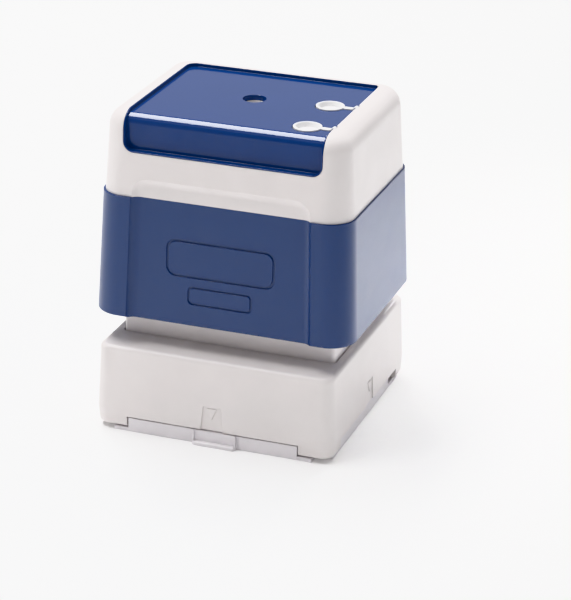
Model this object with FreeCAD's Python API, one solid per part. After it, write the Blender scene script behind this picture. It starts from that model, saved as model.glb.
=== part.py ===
"""Pre-inked hand stamp with a press-down handle. Millimetres, +Z up, origin at the middle of the base.

The skirt housing stands still on the paper. The handle, with the ink tank and the stamp die under it,
slides down through the roof of the housing against four return springs. A dust cap closes the underside.
"""
import FreeCAD, Part
import math
import os

V = FreeCAD.Vector
X_AXIS = V(1, 0, 0)
Y_AXIS = V(0, 1, 0)
Z_AXIS = V(0, 0, 1)
FAR = 90.0                  # past the object in any direction from the origin
FIT = 0.05                  # gap between parts that are fixed to each other

# Heights of the main levels, with the handle up.
FEET_Z = 1.1                # the paper plane, once the cap is off
NOTCH_Z = 3.8               # ceiling of the notches between the feet
STEP_Z = 5.2                # level where the draft of the housing walls turns
ROOF_Z = 21.4
BAND_Z0 = 28.1
BAND_Z1 = 58.1
TOP_Z = 78.3
STROKE = 5.0

# Skirt housing: half sizes and corner radii at the feet, at the step and at the roof.
HOUSING = [(29.85, 28.85, 3.3, FEET_Z), (30.0, 29.0, 2.9, STEP_Z), (29.35, 28.3, 2.7, ROOF_Z)]
HOUSING_WALL = 1.85
HOUSING_INNER_R = 1.4
ROOF_T = 1.8
ROOF_EDGE_R = 1.1
FOOT_EDGE_R = 0.9
NOTCH_HALF = 21.7

# The guide mark near the bottom of each side: a shallow trapezoid recess with a raised triangle in it.
MARK_TOP_Z = 9.9
MARK_HALF = (2.2, 2.9)
MARK_DEPTH = 0.35
ARROW_HALF = 1.2
ARROW_Z = (6.75, 9.45)

# Neck of the plunger, which slides through the roof.
NECK = (26.65, 18.3, 1.0)
NECK_WALL = 1.6
SLIDE_GAP = 0.35

# Print unit under the neck.
DIE_HALF = 20.0
DIE_FACE_Z = FEET_Z + STROKE
DIE_FLANGE_Z = 7.95
FRAME_Z0 = 6.9
TRAY_Z0 = 9.2
TRAY_TOP_Z = ROOF_Z - ROOF_T - 0.3
TRAY = (25.6, 24.4, 2.0)
FLANGE_HALF = 21.2
FLANGE_R = 2.5
FELT_T = 3.0

# Return springs in the corners.
SPRING_XY = (24.5, 23.5)
SPRING_R = 2.2              # to the middle of the wire
WIRE_R = 0.3
SPRING_TURNS = 6.5
SPRING_Z0 = 2.6
SPRING_Z1 = 15.5
POST_R = 3.6
POST_Z1 = 6.0
POST_BORE_R = 2.75
PEG_R = 1.5
PEG_Z0 = 10.7
POST_GAP = 0.5
LUG_R = 2.0

# Handle: grip band, grip shell.
BAND_BOTTOM = (32.4, 25.9, 6.6)
BAND_TOP = (31.1, 24.6, 6.3)
BAND_SLOPE = (BAND_BOTTOM[1] - BAND_TOP[1]) / (BAND_Z1 - BAND_Z0)
BAND_WALL = 2.4
BAND_EDGE_R = 0.6
SHELL_BOTTOM = (30.65, 24.15, 6.1)
SHELL_TOP = (29.5, 23.15, 5.8)
SHELL_EDGE_R = 4.6
CAVITY = (27.2, 19.5, 3.0)
CAVITY_TOP_Z = 74.2
LINER_Z0 = 44.0

# Scooped recess in the front of the handle.
RECESS_HALF = (23.7, 22.4)  # at the bottom and at the top
RECESS_DEPTH = 1.4
RECESS_TOP_Z = 63.4
RECESS_CORNER_R = 4.3
RECESS_FLOOR_R = 2.6

# Blank name plates, outlined by grooves in the recess floor: half width, half height, level, groove width.
PLATES = [(13.5, 4.6, 44.5, 0.6), (8.0, 2.3, 35.6, 0.5)]
PLATE_CORNER = 0.55         # corner radius over half height
PLATE_DEPTH = 0.3

# Top panel: an L let into the top and the front of the shell.
WINDOW_HALF = 24.4
WINDOW_BACK_Y = 18.5
WINDOW_DROP_Z = 68.85
WINDOW_LEFT_R = 2.6
WINDOW_RIGHT_R = 1.5
WINDOW_LOWER_R = 2.6
WINDOW_DEPTH = 2.1
DROP_DEPTH = 2.5
RIM_W = 0.35
RIM_BACK_R = 2.25
RIM_LOWER_R = 2.25
PANEL_FLOOR_Z = TOP_Z - 0.8
PANEL_FRONT_Y = -21.85
PANEL_BEND_R = 2.2
CENTRE_XY = (-0.65, -0.1)    # the screw that holds the handle on the tank
CENTRE_HOLE_R = 2.8

# Ink plugs, their straps and the filler tubes under them.
PLUG_X = 17.7
PLUG_Y = {"front": -14.9, "rear": 1.2}
PLUG_R = 3.4
PLUG_GAP = 0.2
PLUG_Z = (76.3, 77.8)
PLUG_RIM_W = 0.6
PLUG_DISH = (2.3, 1.05)      # radius of the dish's floor, depth of the dish
PLUG_EDGE_R = 0.15
SPIGOT_R = 1.9
SPIGOT_Z0 = 74.9
SPIGOT_CHAMFER = 0.3
STRAP_HALF = 0.75
STRAP_T = 0.65
STRAP_BELOW_RIM = 0.1
HINGE_ROOT = 0.9            # length over which the strap thickens into its hinge
HINGE_GAP = 0.25
HINGE_X = 24.05
HINGE_Z = 77.75
HINGE_R = 0.5
TUBE_R = 2.9
TUBE_BORE_R = 2.4
TUBE_GAP = 0.2

# Ink tank.
LID_Z = (58.0, 60.0)
GASKET_T = 0.6
PILLAR_R = 4.2
PILLAR_TOP_Z = 68.8
FOAM_GAP = 0.2
FOAM_BELOW_LID = 6.0

# Screws, and the insert for the one in the centre.
SCREW_R = 1.0
SCREW_HEAD_R = 1.7
SCREW_HEAD_T = 1.3
SCREW_TIP = 0.5
SCREW_CROSS = (0.7, 0.28, 1.15)     # depth, half width and half length of the cross recess
SCREW_PLAY = 0.1
LID_SCREW_XY = (22.9, 14.6)
LID_SCREW_BITE = 7.0
LID_BOSS_R = 2.6
LID_BOSS_LENGTH = 12.0
FRAME_SCREW_XY = (23.5, 9.0)
FRAME_SCREW_BITE = 6.0
FRAME_CHAMFER = 0.4
INSERT_R = 2.4
INSERT_Z0 = 62.4
INSERT_GROOVE = 0.4
THREAD_FIT = 0.02
CENTRE_SCREW_R = 1.2
CENTRE_CROSS = (1.1, 0.4, 1.5)
CENTRE_HEAD_R = 2.5
CENTRE_HEAD_Z = (73.8, 76.0)

# Dust cap.
CAP_FLOOR_T = 0.9
CAP_HALF = (29.1, 28.8)
CAP_UNDER_FOOT = 25.0
CAP_WALL_HALF = 21.4
CAP_WALL_T = 1.4
CAP_WALL_Z1 = 3.5
CAP_WALL_SHORT = 3.5        # the side walls end this far before their back corner
CAP_RIB_Z1 = 8.0
CAP_RIB_HALF = 17.0
CAP_RIB_T = 1.2
CAP_RIB_GAP = 0.25
TAB_X = (-4.75, 6.25)
TAB_PROUD = 0.8
TAB_FACE_PROUD = 0.3
TAB_LIP_PROUD = 1.4
TAB_LIP_R = 0.9
TAB_LIP_TOP_R = 0.35
TAB_BORDER = 0.5


def box(x0, x1, y0, y1, z0, z1):
    return Part.makeBox(x1 - x0, y1 - y0, z1 - z0, V(x0, y0, z0))


def cylinder(radius, z0, z1, x=0.0, y=0.0):
    return Part.makeCylinder(radius, z1 - z0, V(x, y, z0), Z_AXIS)


def rounded_outline(half_x, half_y, radius, z):
    """Closed wire: a rectangle about the Z axis with round corners."""
    corners = [(1, 1), (-1, 1), (-1, -1), (1, -1)]
    diagonal = radius * math.sqrt(0.5)
    arcs = []
    for index, (sx, sy) in enumerate(corners):
        cx = sx * (half_x - radius)
        cy = sy * (half_y - radius)
        along_x = V(cx + sx * radius, cy, z)
        along_y = V(cx, cy + sy * radius, z)
        middle = V(cx + sx * diagonal, cy + sy * diagonal, z)
        first, last = (along_x, along_y) if index % 2 == 0 else (along_y, along_x)
        arcs.append((first, middle, last))
    edges = []
    for index, (first, middle, last) in enumerate(arcs):
        edges.append(Part.Arc(first, middle, last).toShape())
        following = arcs[(index + 1) % len(arcs)][0]
        edges.append(Part.makeLine(last, following))
    return Part.Wire(edges)


def tapered_block(levels):
    """Solid through rounded rectangles given as (half_x, half_y, radius, z), from the bottom up."""
    return Part.makeLoft([rounded_outline(*level) for level in levels], True, True)


def rounded_block(half_x, half_y, radius, z0, z1):
    outline = rounded_outline(half_x, half_y, radius, z0)
    return Part.Face(outline).extrude(V(0, 0, z1 - z0))


def ring(outer, inner, z0, z1):
    """Rectangular tube between two (half_x, half_y, radius) outlines."""
    body = rounded_block(*outer, z0, z1)
    return body.cut(rounded_block(*inner, z0 - 1, z1 + 1))


def shrink(outline, amount):
    """The (half_x, half_y, radius) outline that lies inside another by an amount."""
    half_x, half_y, radius = outline
    return (half_x - amount, half_y - amount, max(radius - amount, 0.5))


def edges_where(shape, test):
    return [edge for edge in shape.Edges if all(test(vertex.Point) for vertex in edge.Vertexes)]


def near(value, target):
    return abs(value - target) < 1e-4


def quadrants():
    return [(sx, sy) for sx in (-1, 1) for sy in (-1, 1)]


def prism_y(points, y0, y1):
    """Solid with a polygon in the XZ plane as its section, from y0 to y1."""
    outline = Part.makePolygon([V(x, y0, z) for x, z in points + points[:1]])
    return Part.Face(outline).extrude(V(0, y1 - y0, 0))


def join(first, others):
    return first.multiFuse(others).removeSplitter()


def corner_block(corner, centre, radius, z0, z1):
    """Block that fills a corner outwards from a vertical cylinder about (sx, sy) times the centre."""
    sx, sy = corner
    inner_x = centre[0] - radius
    inner_y = centre[1] - radius
    block = box(inner_x, FAR, inner_y, FAR, z0, z1)
    inner_edge = edges_where(block, lambda p: near(p.x, inner_x) and near(p.y, inner_y))
    block = block.makeFillet(radius, inner_edge)
    if sx < 0:
        block = block.mirror(V(0, 0, 0), X_AXIS)
    if sy < 0:
        block = block.mirror(V(0, 0, 0), Y_AXIS)
    return block


def post_clearance(corner, z0, z1):
    """Room round a spring post."""
    return corner_block(corner, SPRING_XY, POST_R + POST_GAP, z0, z1)


def mirrored(point):
    """The four places of a point that is repeated in every quadrant."""
    return [(sx * point[0], sy * point[1]) for sx, sy in quadrants()]


# ---------------------------------------------------------------- skirt housing and springs

def guide_mark_cut(half_y):
    """Tool that leaves the recess and its triangle in the front face, which is at y = -half_y."""
    top_half, bottom_half = MARK_HALF
    outline = [(-bottom_half, NOTCH_Z - 1), (bottom_half, NOTCH_Z - 1), (top_half, MARK_TOP_Z),
               (-top_half, MARK_TOP_Z)]
    recess = prism_y(outline, -half_y - 1, -half_y + MARK_DEPTH)
    apex_z, base_z = ARROW_Z
    arrow = prism_y([(-ARROW_HALF, base_z), (0, apex_z), (ARROW_HALF, base_z)], -half_y, 0)
    return recess.cut(arrow)


def guide_marks():
    """The same mark on all four sides."""
    tools = []
    for turn in range(4):
        half = HOUSING[1][1] if turn % 2 == 0 else HOUSING[1][0]
        tool = guide_mark_cut(half)
        tool.rotate(V(0, 0, 0), Z_AXIS, 90 * turn)
        tools.append(tool)
    return tools


def skirt_housing():
    outer = tapered_block(HOUSING)
    outer = outer.makeFillet(ROOF_EDGE_R, edges_where(outer, lambda p: near(p.z, ROOF_Z)))
    outer = outer.makeFillet(FOOT_EDGE_R, edges_where(outer, lambda p: near(p.z, FEET_Z)))
    inner_z = (0.0, STEP_Z, ROOF_Z - ROOF_T)
    inside = [(level[0] - HOUSING_WALL, level[1] - HOUSING_WALL, HOUSING_INNER_R, z)
              for level, z in zip(HOUSING, inner_z)]
    shell = outer.cut(tapered_block(inside))
    posts = [corner_block(corner, SPRING_XY, POST_R, FEET_Z, POST_Z1) for corner in quadrants()]
    shell = join(shell, [post.common(outer) for post in posts])
    neck_x, neck_y, neck_r = NECK
    opening = rounded_block(neck_x + SLIDE_GAP, neck_y + SLIDE_GAP, neck_r + SLIDE_GAP, CAP_RIB_Z1, FAR)
    cuts = [opening]
    cuts += [box(-NOTCH_HALF, NOTCH_HALF, -FAR, FAR, 0, NOTCH_Z)]
    cuts += [box(-FAR, FAR, -NOTCH_HALF, NOTCH_HALF, 0, NOTCH_Z)]
    cuts += guide_marks()
    cuts += [cylinder(POST_BORE_R, SPRING_Z0, SPRING_Z1, x, y) for x, y in mirrored(SPRING_XY)]
    return shell.cut(cuts).removeSplitter()


def return_spring(x, y):
    """One coil spring, standing in a foot and reaching up to its lug on the tray."""
    height = SPRING_Z1 - SPRING_Z0 - 2 * WIRE_R
    helix = Part.makeHelix(height / SPRING_TURNS, height, SPRING_R)
    section = Part.Wire(Part.makeCircle(WIRE_R, V(SPRING_R, 0, 0), Y_AXIS))
    coil = Part.Wire(helix).makePipeShell([section], True, True)
    coil.translate(V(x, y, SPRING_Z0 + WIRE_R))
    return coil


# ---------------------------------------------------------------- plunger and print unit

def plunger_body():
    """Neck and ink tank, with the tray that holds the print unit and stops the handle on its way up."""
    tank_floor_z = TRAY_TOP_Z + NECK_WALL
    rim_z = LID_Z[0] - GASKET_T
    neck = rounded_block(*NECK, TRAY_TOP_Z, rim_z)
    tray = rounded_block(*TRAY, TRAY_Z0, TRAY_TOP_Z)
    tray = tray.cut([post_clearance(corner, 0, SPRING_Z1) for corner in quadrants()])
    reach = SPRING_R + WIRE_R + FIT
    lug_x, lug_y = (value + reach for value in SPRING_XY)
    lug_layer = rounded_block(lug_x, lug_y, LUG_R, SPRING_Z1, TRAY_TOP_Z)
    lugs = [post_clearance(corner, SPRING_Z1, TRAY_TOP_Z).common(lug_layer) for corner in quadrants()]
    pegs = [cylinder(PEG_R, PEG_Z0, SPRING_Z1, x, y) for x, y in mirrored(SPRING_XY)]
    body = join(neck, [tray] + lugs + pegs)
    pocket_half = FLANGE_HALF + 0.2
    tank = rounded_block(*shrink(NECK, NECK_WALL), tank_floor_z, FAR)
    well = rounded_block(DIE_HALF, NECK[1] - NECK_WALL, 1.0, TRAY_Z0, tank_floor_z + 1)
    felt_pocket = rounded_block(pocket_half, pocket_half, FLANGE_R, TRAY_Z0 - 1, TRAY_Z0 + FELT_T + 0.2)
    body = body.cut([tank, well, felt_pocket])
    body = join(body, lid_bosses(NECK, rim_z - LID_BOSS_LENGTH, rim_z))
    lid_hole_z0 = LID_Z[0] - LID_SCREW_BITE - 1
    frame_hole_z1 = TRAY_Z0 + FRAME_SCREW_BITE + 1
    holes = [cylinder(SCREW_R, lid_hole_z0, FAR, x, y) for x, y in mirrored(LID_SCREW_XY)]
    holes += [cylinder(SCREW_R, 0, frame_hole_z1, x, y) for x, y in mirrored(FRAME_SCREW_XY)]
    return body.cut(holes)


def lid_bosses(outline, z0, z1, radius=LID_BOSS_R):
    """Corner blocks inside an outline, round the lid screws."""
    limit = rounded_block(*outline, z0, z1)
    return [corner_block(corner, LID_SCREW_XY, radius, z0, z1).common(limit) for corner in quadrants()]


def small_screw(x, y, head_z, tip_z):
    """Cross-head screw. Its head is at head_z and its tip at tip_z, above or below."""
    up = 1 if tip_z > head_z else -1
    along = V(0, 0, up)
    head = Part.makeCylinder(SCREW_HEAD_R, SCREW_HEAD_T, V(x, y, head_z), along)
    rim = edges_where(head, lambda p: near(p.z, head_z))
    head = head.makeFillet(0.2 * SCREW_HEAD_R, rim)
    shank = Part.makeCylinder(SCREW_R - FIT, abs(tip_z - head_z) - SCREW_TIP, V(x, y, head_z), along)
    tip = Part.makeCone(SCREW_R - FIT, 0.4 * SCREW_R, SCREW_TIP, V(x, y, tip_z - up * SCREW_TIP), along)
    return join(head, [shank, tip]).cut(cross_slot(x, y, head_z, *SCREW_CROSS))


def cross_slot(x, y, head_z, depth, half_width, half_length):
    """Cross recess, centred on the top or bottom face of a screw head."""
    z0, z1 = head_z - depth, head_z + depth
    along_x = box(x - half_length, x + half_length, y - half_width, y + half_width, z0, z1)
    along_y = box(x - half_width, x + half_width, y - half_length, y + half_length, z0, z1)
    return along_x.fuse(along_y)


def lid_screws():
    head_z = LID_Z[1] + SCREW_HEAD_T
    tip_z = LID_Z[0] - LID_SCREW_BITE
    return Part.makeCompound([small_screw(x, y, head_z, tip_z) for x, y in mirrored(LID_SCREW_XY)])


def frame_screws():
    tip_z = TRAY_Z0 + FRAME_SCREW_BITE
    return Part.makeCompound([small_screw(x, y, FRAME_Z0, tip_z) for x, y in mirrored(FRAME_SCREW_XY)])


def die_frame():
    """Flat frame screwed under the tray: it clamps the edge of the die."""
    frame = rounded_block(*TRAY, FRAME_Z0, TRAY_Z0)
    frame = frame.makeChamfer(FRAME_CHAMFER, edges_where(frame, lambda p: near(p.z, FRAME_Z0)))
    pocket_half = FLANGE_HALF + 0.2
    cuts = [rounded_block(DIE_HALF + 0.25, DIE_HALF + 0.25, 0.8, 0, TRAY_Z0 + 1)]
    cuts += [rounded_block(pocket_half, pocket_half, FLANGE_R, DIE_FLANGE_Z - FIT, TRAY_Z0 + 1)]
    cuts += [post_clearance(corner, 0, TRAY_Z0 + 1) for corner in quadrants()]
    for x, y in mirrored(FRAME_SCREW_XY):
        cuts += [cylinder(SCREW_HEAD_R + SCREW_PLAY, 0, FRAME_Z0 + SCREW_HEAD_T + FIT, x, y)]
        cuts += [cylinder(SCREW_R + SCREW_PLAY, 0, FAR, x, y)]
    return frame.cut(cuts)


def stamp_die():
    face = rounded_block(DIE_HALF, DIE_HALF, 0.6, DIE_FACE_Z, DIE_FLANGE_Z)
    flange = rounded_block(FLANGE_HALF, FLANGE_HALF, FLANGE_R, DIE_FLANGE_Z, TRAY_Z0 - FIT)
    return join(face, [flange])


def ink_transfer_felt():
    return rounded_block(FLANGE_HALF, FLANGE_HALF, FLANGE_R, TRAY_Z0, TRAY_Z0 + FELT_T)


def ink_reservoir_foam():
    """Block of ink-soaked foam, stepped to reach down through the tray to the felt."""
    half_x, half_y, radius = shrink(NECK, NECK_WALL + FOAM_GAP)
    foam_top_z = LID_Z[0] - FOAM_BELOW_LID
    block = rounded_block(half_x, half_y, radius, TRAY_TOP_Z + NECK_WALL + FIT, foam_top_z)
    foot = rounded_block(DIE_HALF - FOAM_GAP, half_y, 1.0, TRAY_Z0 + FELT_T + FIT, foam_top_z)
    boss_room = lid_bosses(NECK, LID_Z[0] - LID_BOSS_LENGTH - 1, FAR, LID_BOSS_R + FOAM_GAP)
    return join(block, [foot]).cut(boss_room)


def lid_gasket():
    """Flat gasket between the rim of the tank and its lid."""
    outline = shrink(NECK, FIT)
    z0 = LID_Z[0] - GASKET_T
    gasket = ring(outline, shrink(NECK, NECK_WALL), z0, LID_Z[0])
    gasket = join(gasket, lid_bosses(outline, z0, LID_Z[0]))
    return gasket.cut([cylinder(SCREW_R, 0, FAR, x, y) for x, y in mirrored(LID_SCREW_XY)])


def ink_tank_lid():
    """Lid of the tank, with a filler tube up to each ink plug and a pillar for the centre screw."""
    lid = rounded_block(*NECK, *LID_Z)
    tubes = [cylinder(TUBE_R, LID_Z[0], PLUG_Z[0] - TUBE_GAP, PLUG_X, y) for y in PLUG_Y.values()]
    lid = join(lid, tubes + [cylinder(PILLAR_R, LID_Z[0], PILLAR_TOP_Z, *CENTRE_XY)])
    cuts = [cylinder(TUBE_BORE_R, 0, FAR, PLUG_X, y) for y in PLUG_Y.values()]
    cuts += [cylinder(INSERT_R, INSERT_Z0, FAR, *CENTRE_XY)]
    cuts += [cylinder(SCREW_R + SCREW_PLAY, 0, FAR, x, y) for x, y in mirrored(LID_SCREW_XY)]
    return lid.cut(cuts)


def threaded_insert():
    """Brass insert with a retaining groove round its middle."""
    insert = cylinder(INSERT_R - THREAD_FIT, INSERT_Z0, PILLAR_TOP_Z, *CENTRE_XY)
    middle = 0.5 * (INSERT_Z0 + PILLAR_TOP_Z)
    groove = cylinder(FAR, middle - 1.5 * INSERT_GROOVE, middle + 1.5 * INSERT_GROOVE)
    groove = groove.cut(cylinder(INSERT_R - INSERT_GROOVE, 0, FAR, *CENTRE_XY))
    return insert.cut([groove, cylinder(CENTRE_SCREW_R, 0, FAR, *CENTRE_XY)])


def centre_screw():
    z0, z1 = CENTRE_HEAD_Z
    head = cylinder(CENTRE_HEAD_R, z0, z1, *CENTRE_XY)
    head = head.makeFillet(0.35 * CENTRE_HEAD_R, edges_where(head, lambda p: near(p.z, z1)))
    screw = join(head, [cylinder(CENTRE_SCREW_R - THREAD_FIT, INSERT_Z0 + 0.5, z0 + 0.5, *CENTRE_XY)])
    return screw.cut(cross_slot(*CENTRE_XY, z1, *CENTRE_CROSS))


# ---------------------------------------------------------------- handle shells

def front_recess():
    """Tool for the scooped recess: it runs with the draft of the front and ends in round corners."""
    bottom_half, top_half = RECESS_HALF
    z0 = BAND_Z0 - 10
    outline = [(-bottom_half, z0), (bottom_half, z0), (top_half, RECESS_TOP_Z), (-top_half, RECESS_TOP_Z)]
    tool = prism_y(outline, -10.0, 0.0)
    top_corners = [edge for edge in tool.Edges
                   if near(edge.Vertexes[0].Z, RECESS_TOP_Z) and near(edge.Vertexes[1].Z, RECESS_TOP_Z)
                   and near(edge.Vertexes[0].X, edge.Vertexes[1].X)]
    tool = tool.makeFillet(RECESS_CORNER_R, top_corners)
    floor_edges = [edge for edge in edges_where(tool, lambda p: near(p.y, 0.0))
                   if not near(edge.BoundBox.ZMax, z0)]
    tool = tool.makeFillet(RECESS_FLOOR_R, floor_edges)
    tool.rotate(V(0, 0, BAND_Z0), X_AXIS, -math.degrees(math.atan(BAND_SLOPE)))
    tool.translate(V(0, -BAND_BOTTOM[1] + RECESS_DEPTH, 0))
    return tool


def plate_groove(half_x, half_z, middle_z, width):
    """Tool for a blank name plate outline, cut into the floor of the front recess."""
    floor_y = -BAND_BOTTOM[1] + RECESS_DEPTH + BAND_SLOPE * (middle_z - BAND_Z0)
    outline = (half_x, half_z, half_z * PLATE_CORNER)
    tool = ring(outline, shrink(outline, width), -2.0, PLATE_DEPTH)
    tool.rotate(V(0, 0, 0), X_AXIS, -90 - math.degrees(math.atan(BAND_SLOPE)))
    tool.translate(V(0, floor_y, middle_z))
    return tool


def grip_band():
    outer = tapered_block([BAND_BOTTOM + (BAND_Z0,), BAND_TOP + (BAND_Z1,)])
    outer = outer.makeFillet(BAND_EDGE_R, edges_where(outer, lambda p: near(p.z, BAND_Z0)))
    inner = tapered_block([shrink(BAND_BOTTOM, BAND_WALL) + (BAND_Z0 - 0.01,),
                           shrink(BAND_TOP, BAND_WALL) + (BAND_Z1 + 0.01,)])
    return outer.cut([inner, front_recess()] + [plate_groove(*plate) for plate in PLATES])


def handle_outer():
    """Outer form of the upper handle above the band."""
    block = tapered_block([SHELL_BOTTOM + (BAND_Z1,), SHELL_TOP + (TOP_Z,)])
    return block.makeFillet(SHELL_EDGE_R, edges_where(block, lambda p: near(p.z, TOP_Z)))


def window(inset=0.0):
    """Space in the shell for the top panel: a top layer and a front layer."""
    half = WINDOW_HALF - inset
    back = WINDOW_BACK_Y - inset
    top = box(-half, half, -FAR, back, TOP_Z - WINDOW_DEPTH + inset, FAR)
    left = edges_where(top, lambda p: near(p.x, -half) and near(p.y, back))
    right = edges_where(top, lambda p: near(p.x, half) and near(p.y, back))
    top = top.makeFillet(WINDOW_LEFT_R - inset, left).makeFillet(WINDOW_RIGHT_R - inset, right)
    front_y = -SHELL_TOP[1] + DROP_DEPTH - inset
    drop = box(-half, half, -FAR, front_y, WINDOW_DROP_Z + inset, TOP_Z)
    lower = edges_where(drop, lambda p: near(p.z, WINDOW_DROP_Z + inset) and abs(p.x) > half - 1)
    lower = [edge for edge in lower if near(edge.Vertexes[0].X, edge.Vertexes[1].X)]
    drop = drop.makeFillet(WINDOW_LOWER_R - inset, lower)
    return top.fuse(drop)


def grip_shell():
    outer = handle_outer()
    liner_half = shrink(BAND_TOP, BAND_WALL + FIT)
    liner = rounded_block(*liner_half, LINER_Z0, BAND_Z1 + 1)
    body = join(outer, [liner])
    cavity = rounded_block(*CAVITY, LINER_Z0 - 1, CAVITY_TOP_Z)
    body = body.cut(cavity)
    body = join(body, [cylinder(PILLAR_R, PILLAR_TOP_Z + TUBE_GAP, CAVITY_TOP_Z + 0.5, *CENTRE_XY)])
    cuts = [front_recess(), window()]
    cuts += [cylinder(CENTRE_HEAD_R + 2 * SCREW_PLAY, CENTRE_HEAD_Z[0], FAR, *CENTRE_XY)]
    cuts += [cylinder(CENTRE_SCREW_R + SCREW_PLAY, 0, FAR, *CENTRE_XY)]
    for y in PLUG_Y.values():
        cuts += [cylinder(TUBE_R + SCREW_PLAY, 0, FAR, PLUG_X, y)]
        cuts += [hinge_room(y)]
    return body.cut(cuts)


def hinge_room(y):
    """Notch in the window's edge for the root of an ink plug's strap."""
    radius = HINGE_R + HINGE_GAP
    half = STRAP_HALF + HINGE_GAP
    round_part = Part.makeCylinder(radius, 2 * half, V(HINGE_X, y - half, HINGE_Z), Y_AXIS)
    above = box(HINGE_X - radius, HINGE_X + radius, y - half, y + half, HINGE_Z, FAR)
    return round_part.fuse(above)


def top_panel():
    """L-shaped panel with a low rim round it; its floor bends over the front edge of the handle."""
    body = handle_outer().common(window(FIT))
    top_half = WINDOW_HALF - RIM_W
    clear_top = box(-top_half, WINDOW_HALF + 1, -FAR, WINDOW_BACK_Y - RIM_W, PANEL_FLOOR_Z - 8, FAR)
    back_edges = edges_where(clear_top, lambda p: near(p.x, -top_half) and near(p.y, WINDOW_BACK_Y - RIM_W))
    clear_top = clear_top.makeFillet(RIM_BACK_R, back_edges)
    clear_top = clear_top.common(box(-FAR, FAR, PANEL_FRONT_Y + PANEL_BEND_R, FAR, 0, FAR))
    drop_z = WINDOW_DROP_Z + RIM_W
    clear_drop = box(-top_half, top_half, -FAR, PANEL_FRONT_Y + PANEL_BEND_R, drop_z, FAR)
    lower = [edge for edge in edges_where(clear_drop, lambda p: near(p.z, drop_z))
             if near(edge.Vertexes[0].X, edge.Vertexes[1].X)]
    clear_drop = clear_drop.makeFillet(RIM_LOWER_R, lower)
    core = box(-FAR, FAR, PANEL_FRONT_Y, FAR, 0, PANEL_FLOOR_Z)
    bend = edges_where(core, lambda p: near(p.y, PANEL_FRONT_Y) and near(p.z, PANEL_FLOOR_Z))
    core = core.makeFillet(PANEL_BEND_R, bend)
    body = body.cut(clear_top.fuse(clear_drop).cut(core))
    cuts = [cylinder(CENTRE_HOLE_R, 0, FAR, *CENTRE_XY)]
    slot_half = STRAP_HALF + PLUG_GAP
    for y in PLUG_Y.values():
        cuts += [cylinder(PLUG_R + PLUG_GAP, 0, FAR, PLUG_X, y)]
        cuts += [box(PLUG_X, FAR, y - slot_half, y + slot_half, 0, FAR)]
    return body.cut(cuts)


def ink_plug(y):
    """Dished plug with a spigot that closes a filler tube, and a flat strap out to its hinge."""
    z0, z1 = PLUG_Z
    disc = cylinder(PLUG_R, z0, z1, PLUG_X, y)
    disc = disc.makeFillet(PLUG_EDGE_R, edges_where(disc, lambda p: near(p.z, z1)))
    strap_top = z1 - STRAP_BELOW_RIM
    strap_under = strap_top - STRAP_T
    root_x = PLUG_X + 0.9 * PLUG_R
    bend_x = HINGE_X - HINGE_ROOT
    profile = [(root_x, strap_under), (bend_x, strap_under), (HINGE_X, HINGE_Z - HINGE_R),
               (HINGE_X, HINGE_Z + HINGE_R), (bend_x, strap_top), (root_x, strap_top)]
    strap = prism_y(profile, y - STRAP_HALF, y + STRAP_HALF)
    barrel = Part.makeCylinder(HINGE_R, 2 * STRAP_HALF, V(HINGE_X, y - STRAP_HALF, HINGE_Z), Y_AXIS)
    spigot = cylinder(SPIGOT_R, SPIGOT_Z0, z0, PLUG_X, y)
    spigot = spigot.makeChamfer(SPIGOT_CHAMFER, edges_where(spigot, lambda p: near(p.z, SPIGOT_Z0)))
    plug = join(disc, [strap, barrel, spigot])
    floor_r, depth = PLUG_DISH
    dish = Part.makeCone(floor_r, PLUG_R - PLUG_RIM_W, depth, V(PLUG_X, y, z1 - depth))
    return plug.cut(dish)


# ---------------------------------------------------------------- dust cap

def pull_tab():
    """Tab at the front of the cap: a plain face with a thin border and an out-turned lip below."""
    x0, x1 = TAB_X
    face_y = -CAP_HALF[1] - TAB_FACE_PROUD
    border_y = -CAP_HALF[1] - TAB_PROUD
    lip_y = -CAP_HALF[1] - TAB_LIP_PROUD
    inner_y = -CAP_HALF[1] + CAP_WALL_T
    face = box(x0, x1, face_y, inner_y, 0, CAP_WALL_Z1)
    sides = [box(x0, x0 + TAB_BORDER, border_y, inner_y, 0, CAP_WALL_Z1)]
    sides += [box(x1 - TAB_BORDER, x1, border_y, inner_y, 0, CAP_WALL_Z1)]
    lip = box(x0, x1, lip_y, inner_y, 0, CAP_FLOOR_T)
    corners = [edge for edge in edges_where(lip, lambda p: near(p.y, lip_y)) if edge.Length < x1 - x0]
    lip = lip.makeFillet(TAB_LIP_R, corners)
    top_edge = edges_where(lip, lambda p: near(p.y, lip_y) and near(p.z, CAP_FLOOR_T))
    lip = lip.makeFillet(TAB_LIP_TOP_R, top_edge)
    return join(face, sides + [lip])


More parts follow.
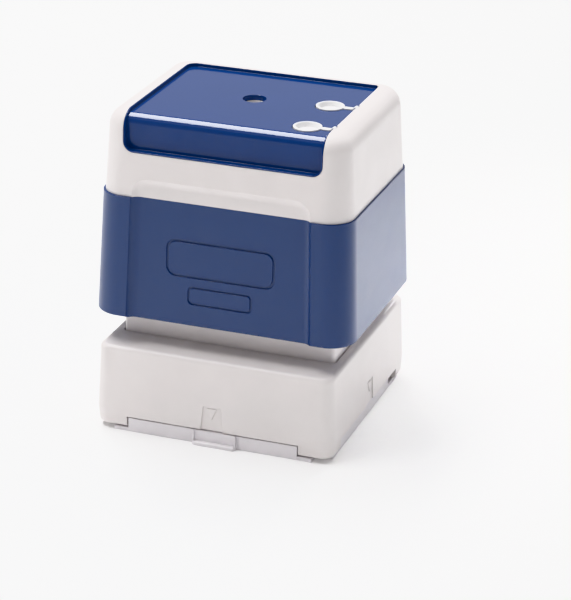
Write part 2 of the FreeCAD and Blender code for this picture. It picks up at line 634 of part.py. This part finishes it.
def dust_cap():
    half_x, half_y = CAP_HALF
    floor = box(-half_x, half_x, -CAP_UNDER_FOOT, CAP_UNDER_FOOT, 0, CAP_FLOOR_T)
    floor = floor.fuse(box(-CAP_UNDER_FOOT, CAP_UNDER_FOOT, -half_y, half_y, 0, CAP_FLOOR_T))
    parts = []
    rib_x1, rib_y1 = (half - HOUSING_WALL - CAP_RIB_GAP for half in HOUSING[0][:2])
    for sign in (-1, 1):
        wall_y = sorted((sign * half_y, sign * (half_y - CAP_WALL_T)))
        parts += [box(-CAP_WALL_HALF, CAP_WALL_HALF, *wall_y, 0, CAP_WALL_Z1)]
        wall_x = sorted((sign * half_x, sign * (half_x - CAP_WALL_T)))
        parts += [box(*wall_x, -CAP_WALL_HALF, CAP_WALL_HALF - CAP_WALL_SHORT, 0, CAP_WALL_Z1)]
        rib_y = sorted((sign * rib_y1, sign * (rib_y1 - CAP_RIB_T)))
        parts += [box(-CAP_RIB_HALF, CAP_RIB_HALF, *rib_y, 0, CAP_RIB_Z1)]
        rib_x = sorted((sign * rib_x1, sign * (rib_x1 - CAP_RIB_T)))
        parts += [box(*rib_x, -CAP_RIB_HALF, CAP_RIB_HALF, 0, CAP_RIB_Z1)]
    back_tab = pull_tab()
    back_tab.rotate(V(0, 0, 0), Z_AXIS, 180)
    return join(floor, parts + [pull_tab(), back_tab])


# ---------------------------------------------------------------- write every node

def build():
    nodes = {
        "skirt_housing": skirt_housing(),
        "grip_shell": grip_shell(),
        "grip_band": grip_band(),
        "top_panel": top_panel(),
        "plunger_body": plunger_body(),
        "ink_tank_lid": ink_tank_lid(),
        "lid_gasket": lid_gasket(),
        "lid_screws": lid_screws(),
        "ink_reservoir_foam": ink_reservoir_foam(),
        "ink_transfer_felt": ink_transfer_felt(),
        "stamp_die": stamp_die(),
        "die_frame": die_frame(),
        "die_frame_screws": frame_screws(),
        "threaded_insert": threaded_insert(),
        "centre_screw": centre_screw(),
        "dust_cap": dust_cap(),
    }
    for side, y in PLUG_Y.items():
        nodes["ink_plug_" + side] = ink_plug(y)
    for sx, sy in quadrants():
        place = ("front" if sy < 0 else "rear") + "_" + ("left" if sx < 0 else "right")
        nodes["return_spring_" + place] = return_spring(sx * SPRING_XY[0], sy * SPRING_XY[1])
    return nodes


os.makedirs("parts", exist_ok=True)
for name, shape in build().items():
    shape.exportStep("parts/" + name + ".step")
    print(name, len(shape.Solids), shape.isValid(), round(shape.Volume, 1))
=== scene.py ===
"""Looks of a pre-inked hand stamp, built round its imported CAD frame. Metres, in the frame of the part."""
import math

import bmesh
import bpy
from mathutils import Matrix, Vector, noise


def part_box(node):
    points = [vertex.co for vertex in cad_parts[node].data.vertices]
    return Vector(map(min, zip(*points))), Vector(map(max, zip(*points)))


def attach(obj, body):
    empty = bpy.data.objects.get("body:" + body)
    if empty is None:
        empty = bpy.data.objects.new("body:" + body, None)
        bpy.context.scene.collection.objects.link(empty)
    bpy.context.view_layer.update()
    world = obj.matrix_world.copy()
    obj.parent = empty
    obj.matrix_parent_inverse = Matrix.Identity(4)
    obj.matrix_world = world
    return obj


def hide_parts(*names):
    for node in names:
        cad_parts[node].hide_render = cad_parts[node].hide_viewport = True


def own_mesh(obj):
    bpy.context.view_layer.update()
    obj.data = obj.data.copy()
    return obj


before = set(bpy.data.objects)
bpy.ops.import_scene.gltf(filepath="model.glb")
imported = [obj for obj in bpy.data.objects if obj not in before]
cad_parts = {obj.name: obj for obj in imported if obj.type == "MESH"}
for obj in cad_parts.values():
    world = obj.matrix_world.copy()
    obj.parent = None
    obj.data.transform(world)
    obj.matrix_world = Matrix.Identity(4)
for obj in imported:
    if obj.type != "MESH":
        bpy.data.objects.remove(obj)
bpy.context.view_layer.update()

MM = 0.001
RANGE_INPUTS = ("From Min", "From Max", "To Min", "To Max")    # of a map range node

# ------------------------------------------------------------------ camera, light, floor
CAMERA_AZIMUTH = 19.28          # degrees: 0 looks along +Y
CAMERA_ELEVATION = 22.79
CAMERA_ROLL = 0.99
CAMERA_DISTANCE = 0.603
CAMERA_LENS = 148.9             # mm
SENSOR_WIDTH = 36.0             # mm
CAMERA_CLIP = (0.01, 20.0)
AIM_POINT = Vector((7.2, 1.9, 26.55)) * MM

NEUTRAL = (1.0, 1.0, 1.0)
OBJECT_MIDDLE = (0.0, 0.0, 0.04)
ALL_ROUND = 180
# Name, place, width and depth, watts, colour, point it faces, spread in degrees.
LAMPS = [
    ("top_softbox", (0.0, 0.35, 1.1), (1.1, 0.9), 4.3, NEUTRAL, OBJECT_MIDDLE, ALL_ROUND),
    ("strip_light", (-0.40, 0.17, 1.1), (0.28, 1.15), 17.0, NEUTRAL, (-0.40, 0.17, 0.0), ALL_ROUND),
    ("front_key", (-0.25, -1.05, 1.1), (0.8, 0.6), 1.4, (1.0, 0.955, 0.94), OBJECT_MIDDLE, ALL_ROUND),
    ("front_fill", (-0.75, -0.95, 0.28), (0.8, 0.4), 0.45, (1.0, 0.94, 0.925), OBJECT_MIDDLE, ALL_ROUND),
    ("right_fill", (1.05, 0.05, 0.6), (0.7, 0.7), 1.0, (0.945, 0.95, 1.0), OBJECT_MIDDLE, ALL_ROUND),
    ("floor_wash", (0.10, 0.36, 0.26), (0.12, 0.08), 0.08, (1.0, 0.975, 0.975), (0.08, 0.1, 0.0), 30),
]

# The world by direction: the sweep is bright to the rear (+Y) and fades out upwards.
ROOM_LIGHT = 0.30
SWEEP_LIGHT = 0.42
SWEEP_REAR = (-0.1, 0.6)        # dark to bright, by the direction's Y
SWEEP_TOP = (0.42, 0.62)        # bright to dark, by the direction's Z

FLOOR_HALF = 3.0
FLOOR_COLOUR = (0.93, 0.93, 0.93)
FLOOR_GLOW = 0.07


def camera():
    azimuth = math.radians(CAMERA_AZIMUTH)
    elevation = math.radians(CAMERA_ELEVATION)
    roll = math.radians(CAMERA_ROLL)
    back = Vector((math.sin(azimuth) * math.cos(elevation), -math.cos(azimuth) * math.cos(elevation),
                   math.sin(elevation)))
    level = Vector((math.cos(azimuth), math.sin(azimuth), 0.0))
    upright = back.cross(level)
    right = level * math.cos(roll) + upright * math.sin(roll)
    up = back.cross(right)
    data = bpy.data.cameras.new("camera")
    data.lens = CAMERA_LENS
    data.sensor_width = SENSOR_WIDTH
    data.clip_start, data.clip_end = CAMERA_CLIP
    rig = bpy.data.objects.new("camera", data)
    turn = Matrix((right, up, back)).transposed().to_4x4()
    rig.matrix_world = Matrix.Translation(AIM_POINT + back * CAMERA_DISTANCE) @ turn
    bpy.context.scene.collection.objects.link(rig)
    bpy.context.scene.camera = rig


def softbox(name, place, size, watts, colour, aim, spread):
    data = bpy.data.lights.new(name, "AREA")
    data.shape = "RECTANGLE"
    data.size, data.size_y = size
    data.energy = watts
    data.color = colour
    data.spread = math.radians(spread)
    lamp = bpy.data.objects.new(name, data)
    lamp.location = place
    lamp.rotation_euler = (Vector(place) - Vector(aim)).to_track_quat("Z", "Y").to_euler()
    bpy.context.scene.collection.objects.link(lamp)


def studio_world():
    """White sweep behind the object, and a dimmer room elsewhere."""
    world = bpy.data.worlds.new("studio")
    world.use_nodes = True
    nodes, links = world.node_tree.nodes, world.node_tree.links
    split = nodes.new("ShaderNodeSeparateXYZ")
    links.new(nodes.new("ShaderNodeTexCoord").outputs["Generated"], split.inputs["Vector"])

    def step(axis, start, end, low, high):
        made = nodes.new("ShaderNodeMapRange")
        made.interpolation_type = "SMOOTHSTEP"
        for key, value in zip(RANGE_INPUTS, (start, end, low, high)):
            made.inputs[key].default_value = value
        links.new(split.outputs[axis], made.inputs["Value"])
        return made.outputs["Result"]

    product = nodes.new("ShaderNodeMath")
    product.operation = "MULTIPLY_ADD"
    links.new(step("Y", *SWEEP_REAR, 0.0, SWEEP_LIGHT), product.inputs[0])
    links.new(step("Z", *SWEEP_TOP, 1.0, 0.0), product.inputs[1])
    product.inputs[2].default_value = ROOM_LIGHT
    nodes["Background"].inputs["Color"].default_value = (*NEUTRAL, 1.0)
    links.new(product.outputs[0], nodes["Background"].inputs["Strength"])
    bpy.context.scene.world = world


def lights():
    for lamp in LAMPS:
        softbox(*lamp)
    studio_world()
    bpy.context.scene.view_settings.view_transform = "Khronos PBR Neutral"


def floor():
    mesh = bpy.data.meshes.new("floor")
    corners = [(sx * FLOOR_HALF, sy * FLOOR_HALF, 0) for sx, sy in ((-1, -1), (1, -1), (1, 1), (-1, 1))]
    mesh.from_pydata(corners, [], [(0, 1, 2, 3)])
    ground = bpy.data.objects.new("floor", mesh)
    bpy.context.scene.collection.objects.link(ground)
    lit = plastic("floor_acrylic", FLOOR_COLOUR, 0.6, grain=0.3)
    glow = lit.node_tree.nodes["Principled BSDF"]
    glow.inputs["Emission Color"].default_value = (*NEUTRAL, 1.0)
    glow.inputs["Emission Strength"].default_value = FLOOR_GLOW
    mesh.materials.append(lit)


# ------------------------------------------------------------------ materials
WHITE = (0.785, 0.744, 0.738)
BLUE = (0.010, 0.040, 0.155)
INK = (0.012, 0.02, 0.075)

MOTTLE = 0.02                   # share by which a plastic's colour varies
SCUFF = 0.04                    # share by which its roughness varies
SOFT_EDGE = 0.25 * MM           # radius that its edges seem to have


class Tree:
    """A material's node tree with short calls for the nodes used here."""

    def __init__(self, name):
        self.material = bpy.data.materials.new(name)
        self.material.use_nodes = True
        self.nodes = self.material.node_tree.nodes
        self.links = self.material.node_tree.links
        self.shader = self.nodes["Principled BSDF"]

    def node(self, kind, **values):
        made = self.nodes.new(kind)
        for key, value in values.items():
            setattr(made, key, value)
        return made

    def link(self, source, target):
        self.links.new(source, target)

    def place(self, stretch=(1.0, 1.0, 1.0)):
        mapping = self.node("ShaderNodeMapping")
        mapping.inputs["Scale"].default_value = stretch
        self.link(self.node("ShaderNodeTexCoord").outputs["Object"], mapping.inputs["Vector"])
        return mapping.outputs["Vector"]

    def noise(self, size, detail=2.0, stretch=(1.0, 1.0, 1.0)):
        """Noise whose features are about size metres across."""
        made = self.node("ShaderNodeTexNoise")
        made.inputs["Scale"].default_value = 1.0 / size
        made.inputs["Detail"].default_value = detail
        self.link(self.place(stretch), made.inputs["Vector"])
        return made.outputs["Fac"]

    def cells(self, size):
        """Distance to the nearest of many points about size metres apart."""
        made = self.node("ShaderNodeTexVoronoi")
        made.inputs["Scale"].default_value = 1.0 / size
        self.link(self.place(), made.inputs["Vector"])
        return made.outputs["Distance"]

    def ramp(self, source, low, high, start=0.3, end=0.7):
        """Maps a value to low..high between start and end."""
        made = self.node("ShaderNodeMapRange")
        for key, value in zip(RANGE_INPUTS, (start, end, low, high)):
            made.inputs[key].default_value = value
        self.link(source, made.inputs["Value"])
        return made.outputs["Result"]

    def mix(self, share, first, second):
        made = self.node("ShaderNodeMix", data_type="RGBA")
        made.inputs["A"].default_value = (*first, 1.0)
        made.inputs["B"].default_value = (*second, 1.0)
        self.link(share, made.inputs["Factor"])
        return made.outputs["Result"]

    def bump(self, height, distance, under=None):
        made = self.node("ShaderNodeBump")
        made.inputs["Distance"].default_value = distance
        self.link(height, made.inputs["Height"])
        if under is not None:
            self.link(under, made.inputs["Normal"])
        return made.outputs["Normal"]

    def colour(self, share, first, second):
        self.link(self.mix(share, first, second), self.shader.inputs["Base Color"])

    def rough(self, source):
        self.link(source, self.shader.inputs["Roughness"])

    def normal(self, source):
        self.link(source, self.shader.inputs["Normal"])


def shade(colour, factor):
    return tuple(min(channel * factor, 1.0) for channel in colour)


def plastic(name, colour, rough, grain=1.0, ior=1.5):
    """Moulded plastic: faint clouds of colour, spark-eroded grain, faint wear in the gloss and soft edges."""
    tree = Tree(name)
    clouds = tree.ramp(tree.noise(9 * MM, 3.0), 0.0, 1.0)
    tree.colour(clouds, shade(colour, 1 - MOTTLE), shade(colour, 1 + MOTTLE))
    scuffs = tree.noise(5 * MM, 2.0, (0.5, 0.5, 1.0))
    tree.rough(tree.ramp(scuffs, rough * (1 - SCUFF), rough * (1 + SCUFF)))
    soft_edges = tree.node("ShaderNodeBevel", samples=6)
    soft_edges.inputs["Radius"].default_value = SOFT_EDGE
    tree.normal(tree.bump(tree.noise(0.12 * MM), 0.004 * MM * grain, soft_edges.outputs["Normal"]))
    tree.shader.inputs["IOR"].default_value = ior
    return tree.material


def metal(name, colour, tint, rough, squeeze):
    """Drawn, turned or plated metal: fine lines across Z and a faint change of tint."""
    tree = Tree(name)
    tree.colour(tree.ramp(tree.noise(1.5 * MM, 3.0), 0.0, 1.0), colour, tint)
    lines = tree.noise(0.35 * MM, 3.0, (1.0, 1.0, squeeze))
    tree.rough(tree.ramp(lines, rough * 0.75, rough * 1.35))
    tree.normal(tree.bump(lines, 0.006 * MM))
    tree.shader.inputs["Metallic"].default_value = 1.0
    return tree.material


def foam(name, colour, cell, depth, rough):
    """Porous foam wet with ink: open cells, with painted shade in the pores and the cell walls painted
    lighter.
    """
    tree = Tree(name)
    cells = tree.cells(cell)
    # Painted shade: the pores darker and the cell walls lighter than the ink's own colour.
    tree.colour(tree.ramp(cells, 0.0, 1.0, 0.15, 0.6), shade(colour, 0.55), shade(colour, 1.3))
    tree.rough(tree.ramp(tree.noise(2.5 * MM, 3.0), rough * 0.75, rough * 1.15))
    tree.normal(tree.bump(cells, depth, tree.bump(tree.noise(0.9 * MM, 4.0), 0.05 * MM)))
    return tree.material


def felt(name, colour):
    """Pressed felt: short fibres lying in two directions."""
    tree = Tree(name)
    along = tree.noise(0.3 * MM, 4.0, (0.2, 1.0, 1.0))
    across = tree.noise(0.3 * MM, 4.0, (1.0, 0.2, 1.0))
    tree.colour(tree.ramp(along, 0.0, 1.0), shade(colour, 0.7), shade(colour, 1.35))
    tree.rough(tree.ramp(across, 0.8, 0.98))
    tree.normal(tree.bump(along, 0.06 * MM, tree.bump(across, 0.06 * MM)))
    tree.shader.inputs["Sheen Weight"].default_value = 0.3
    return tree.material


def finishes():
    """The material for each of the record's slots."""
    return {
        "white_shell": plastic("shell_white", WHITE, 0.36),
        "white_skirt": plastic("skirt_white", WHITE, 0.38),
        # The neck is the shell's white plastic painted 1.25 times lighter: painted light that makes up for
        # the shade it stands in under the band.
        "white_neck": plastic("neck_white_painted_light", shade(WHITE, 1.25), 0.40),
        "white_plug": plastic("plug_white", (0.79, 0.785, 0.79), 0.34),
        "cap_plastic": plastic("cap_lilac", (0.79, 0.76, 0.785), 0.33),
        "blue_band": plastic("band_blue", BLUE, 0.30, 0.8, 1.62),
        "blue_panel": plastic("panel_blue", (0.010, 0.042, 0.175), 0.12, 0.3),
        "tank_plastic": plastic("tank_natural", (0.62, 0.62, 0.60), 0.4),
        "frame_plastic": plastic("frame_black", (0.028, 0.028, 0.032), 0.4),
        "gasket_rubber": plastic("gasket_black", (0.022, 0.022, 0.024), 0.62, 4.0),
        "ink_foam": foam("foam_inked", INK, 0.55 * MM, 0.12 * MM, 0.55),
        "ink_felt": felt("felt_inked", INK),
        "die_foam": foam("die_porous", shade(INK, 2.0), 0.16 * MM, 0.02 * MM, 0.5),
        "spring_steel": metal("spring_wire", (0.55, 0.55, 0.57), (0.48, 0.48, 0.50), 0.26, 6.0),
        "screw_steel": metal("screw_zinc", (0.90, 0.90, 0.90), (0.82, 0.82, 0.83), 0.55, 4.0),
        "insert_brass": metal("insert_turned", (0.72, 0.50, 0.20), (0.60, 0.40, 0.16), 0.28, 8.0),
    }


def paint(materials):
    """Give every CAD node the material of its slot."""
    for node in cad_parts.values():
        for slot in node.material_slots:
            slot.material = materials[slot.material.name.split(".")[0]]


# ------------------------------------------------------------------ new pieces
def piece(name, build, material, body):
    """Object made by build(bmesh), with smooth faces, that rides with a body."""
    mesh = bpy.data.meshes.new(name)
    shape = bmesh.new()
    build(shape)
    bmesh.ops.recalc_face_normals(shape, faces=shape.faces)
    for face in shape.faces:
        face.smooth = True
    shape.to_mesh(mesh)
    shape.free()
    mesh.materials.append(material)
    made = bpy.data.objects.new(name, mesh)
    bpy.context.scene.collection.objects.link(made)
    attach(made, body)
    return made


def skin(shape, rings):
    """Quads between rings of equally many points."""
    for lower, upper in zip(rings, rings[1:]):
        count = len(lower)
        for step in range(count):
            following = (step + 1) % count
            shape.faces.new((lower[step], lower[following], upper[following], upper[step]))


def close_ends(shape, rings):
    shape.faces.new(rings[0])
    shape.faces.new(rings[-1])


# ------------------------------------------------------------------ return springs
SPRING_R = 2.2 * MM             # to the middle of the wire
WIRE_R = 0.3 * MM
WIRE_SIDES = 10
GROUND = 0.6                    # share of the wire's radius left by grinding the ends flat
CLOSED_TURNS = 1.0              # at each end
OPEN_TURNS = 5.5
RISE_TURNS = 0.4                # over which closed turns pass into open ones
POINTS_PER_TURN = 28


def coil_line(centre, low, high):
    """Middle line of a compression spring: a closed turn, open turns, a closed turn."""
    turns = 2 * CLOSED_TURNS + OPEN_TURNS
    count = int(POINTS_PER_TURN * turns)
    closed_rise = 2 * WIRE_R / POINTS_PER_TURN
    rises = []
    for step in range(count):
        place = step / POINTS_PER_TURN
        from_end = min(place, turns - place) - CLOSED_TURNS
        rises.append(min(max(from_end / RISE_TURNS + 0.5, 0.0), 1.0))
    z = low + GROUND * WIRE_R
    span = high - GROUND * WIRE_R - z
    open_rise = (span - closed_rise * count) / sum(rises)
    line = []
    for rise, step in zip(rises + [0.0], range(count + 1)):
        angle = 2 * math.pi * step / POINTS_PER_TURN
        out = SPRING_R * Vector((math.cos(angle), math.sin(angle)))
        line.append(Vector((centre.x + out.x, centre.y + out.y, z)))
        z += closed_rise + open_rise * rise
    return line


def wire(shape, line, low, high):
    """Round wire along a line of points, ground flat at the low and high levels."""
    rings = []
    for index, point in enumerate(line):
        ahead = line[min(index + 1, len(line) - 1)] - line[max(index - 1, 0)]
        ahead.normalize()
        side = ahead.cross(Vector((0, 0, 1))).normalized()
        over = side.cross(ahead)
        ring = []
        for step in range(WIRE_SIDES):
            angle = 2 * math.pi * step / WIRE_SIDES
            spot = point + WIRE_R * (side * math.cos(angle) + over * math.sin(angle))
            spot.z = min(max(spot.z, low), high)
            ring.append(shape.verts.new(spot))
        rings.append(ring)
    skin(shape, rings)
    close_ends(shape, rings)


def springs(material):
    """Wound springs in the place of the CAD ones, at their length and riding with the skirt; the real springs
    shorten as the handle goes down.
    """
    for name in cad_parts:
        if not name.startswith("return_spring"):
            continue
        low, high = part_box(name)
        centre = (low + high) / 2
        line = coil_line(centre, low.z, high.z)
        made = piece(name.replace("return_spring", "coil"),
                     lambda shape: wire(shape, line, low.z, high.z), material, "skirt")
        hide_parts(name)
        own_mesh(made)


# ------------------------------------------------------------------ foam, felt and die
CORNER_STEPS = 5
SIDE_STEPS = 24


def outline(half_x, half_y, radius):
    """Points round a rectangle with round corners, the same number for any size."""
    points = []
    for quarter, (sx, sy) in enumerate(((1, 1), (-1, 1), (-1, -1), (1, -1))):
        centre = Vector((sx * (half_x - radius), sy * (half_y - radius)))
        for step in range(CORNER_STEPS + 1):
            angle = math.radians(90 * quarter + 90 * step / CORNER_STEPS)
            points.append(centre + radius * Vector((math.cos(angle), math.sin(angle))))
    spread = []
    for index, point in enumerate(points):
        following = points[(index + 1) % len(points)]
        spread.append(point)
        if index % (CORNER_STEPS + 1) == CORNER_STEPS:
            for step in range(1, SIDE_STEPS):
                spread.append(point.lerp(following, step / SIDE_STEPS))
    return spread


# Blocks as levels from the bottom up: half width, half depth, corner radius, height, all in mm.
FOAM_LEVELS = [(19.8, 16.5, 1.0, 12.3), (24.8, 16.45, 0.5, 20.95),
               (19.9, 16.45, 0.5, 45.0), (19.9, 16.45, 0.5, 52.0)]
FELT_LEVELS = [(21.15, 21.15, 2.5, 9.22), (21.15, 21.15, 2.5, 12.18)]
DIE_LEVELS = [(19.95, 19.95, 0.6, 6.5), (21.15, 21.15, 2.5, 7.98), (21.15, 21.15, 2.5, 9.12)]

FLAT_SHARES = (0.05, 0.35, 0.65, 0.9)   # rings across the bottom and the top, from the middle out
EDGE_CUT = 0.3                          # share of the edge's radius left outside its middle ring
RING_SPACING = 2.5 * MM                 # between the rings of an upright side
LEAST_RADIUS = 0.02 * MM
UNEVEN_SIZE = 2 * MM                    # width of the dents in a ragged skin
UNEVEN_REACH = 10 * MM


def block_profile(levels, edge):
    """The rings of a padded block, as (half_x, half_y, radius, z), with its edges rounded off."""
    first, last = levels[0], levels[-1]
    inset = edge * EDGE_CUT

    def flat(level, shares):
        return [(level[0] * share, level[1] * share, level[2] * share, level[3]) for share in shares]

    def edge_ring(level, inwards, upwards):
        return level[0] - inwards, level[1] - inwards, level[2], level[3] + upwards

    profile = flat(first, FLAT_SHARES) + [edge_ring(first, edge, 0.0), edge_ring(first, inset, inset)]
    for lower, upper in zip(levels, levels[1:]):
        rise = upper[3] - lower[3]
        steps = max(int(rise / RING_SPACING), 1)
        start, climb = (edge, rise - 2 * edge) if rise > 2 * edge else (rise * 0.5, 0.0)
        for step in range(steps + 1):
            profile.append((*lower[:3], lower[3] + start + climb * step / steps))
    profile += [edge_ring(last, inset, -inset), edge_ring(last, edge, 0.0)]
    return profile + flat(last, reversed(FLAT_SHARES))


def padded_block(shape, levels_mm, edge, ragged):
    """Closed block through levels, with soft edges and a slightly uneven skin. A level that differs in size
    from the one before makes a ledge."""
    levels = [tuple(value * MM for value in level) for level in levels_mm]
    rings = []
    for half_x, half_y, radius, z in block_profile(levels, edge):
        ring = []
        for point in outline(half_x, half_y, max(radius, LEAST_RADIUS)):
            spot = Vector((point.x, point.y, z))
            uneven = noise.noise_vector(spot / UNEVEN_SIZE)
            ring.append(shape.verts.new(spot * (1 - ragged) + uneven * ragged * UNEVEN_REACH))
        rings.append(ring)
    skin(shape, rings)
    close_ends(shape, rings)


def ink_foam(materials):
    block = piece("reservoir_foam", lambda shape: padded_block(shape, FOAM_LEVELS, 0.5 * MM, 0.006),
                  materials["ink_foam"], "handle")
    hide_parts("ink_reservoir_foam")
    pad = piece("transfer_felt", lambda shape: padded_block(shape, FELT_LEVELS, 0.35 * MM, 0.004),
                materials["ink_felt"], "handle")
    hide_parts("ink_transfer_felt")


IMPRINT_Z = (6.12, 6.6)         # mm, face and root of the raised print
IMPRINT_FRAME = (18.6, 17.9)    # mm, outer and inner half size
IMPRINT_FRAME_R = 1.2
# Bars in mm: half width, middle, half height.
IMPRINT_BARS = [(14.0, 10.5, 1.5), (15.5, 4.5, 1.0), (15.5, 0.5, 1.0), (11.0, -3.5, 1.0), (6.5, -11.0, 2.2)]
BAR_R = 0.4
BAR_EDGE = (0.98, 0.08)         # share of the bar's size at its face, depth in mm to its full size


def imprint(shape):
    """Raised face of the die: a plain frame and blank bars where lines of print would stand."""
    low, high = (z * MM for z in IMPRINT_Z)
    outer, inner = (outline(half * MM, half * MM, IMPRINT_FRAME_R * MM) for half in IMPRINT_FRAME)
    rings = [[shape.verts.new((point.x, point.y, z)) for point in line]
             for line, z in ((inner, high), (inner, low), (outer, low), (outer, high))]
    skin(shape, rings + rings[:1])
    face_share, edge_depth = BAR_EDGE
    for half, y, half_height in IMPRINT_BARS:
        line = outline(half * MM, half_height * MM, BAR_R * MM)
        raised = [[shape.verts.new((point.x * grow, y * MM + point.y * grow, z)) for point in line]
                  for grow, z in ((face_share, low), (1.0, low + edge_depth * MM), (1.0, high))]
        skin(shape, raised)
        close_ends(shape, raised)


def die(material):
    def build(shape):
        padded_block(shape, DIE_LEVELS, 0.2 * MM, 0.0)
        imprint(shape)

    pad = piece("die_pad", build, material, "handle")
    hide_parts("stamp_die")


# ------------------------------------------------------------------ everything, in order
camera()
lights()
floor()
finish = finishes()
paint(finish)
springs(finish["spring_steel"])
ink_foam(finish)
die(finish["die_foam"])
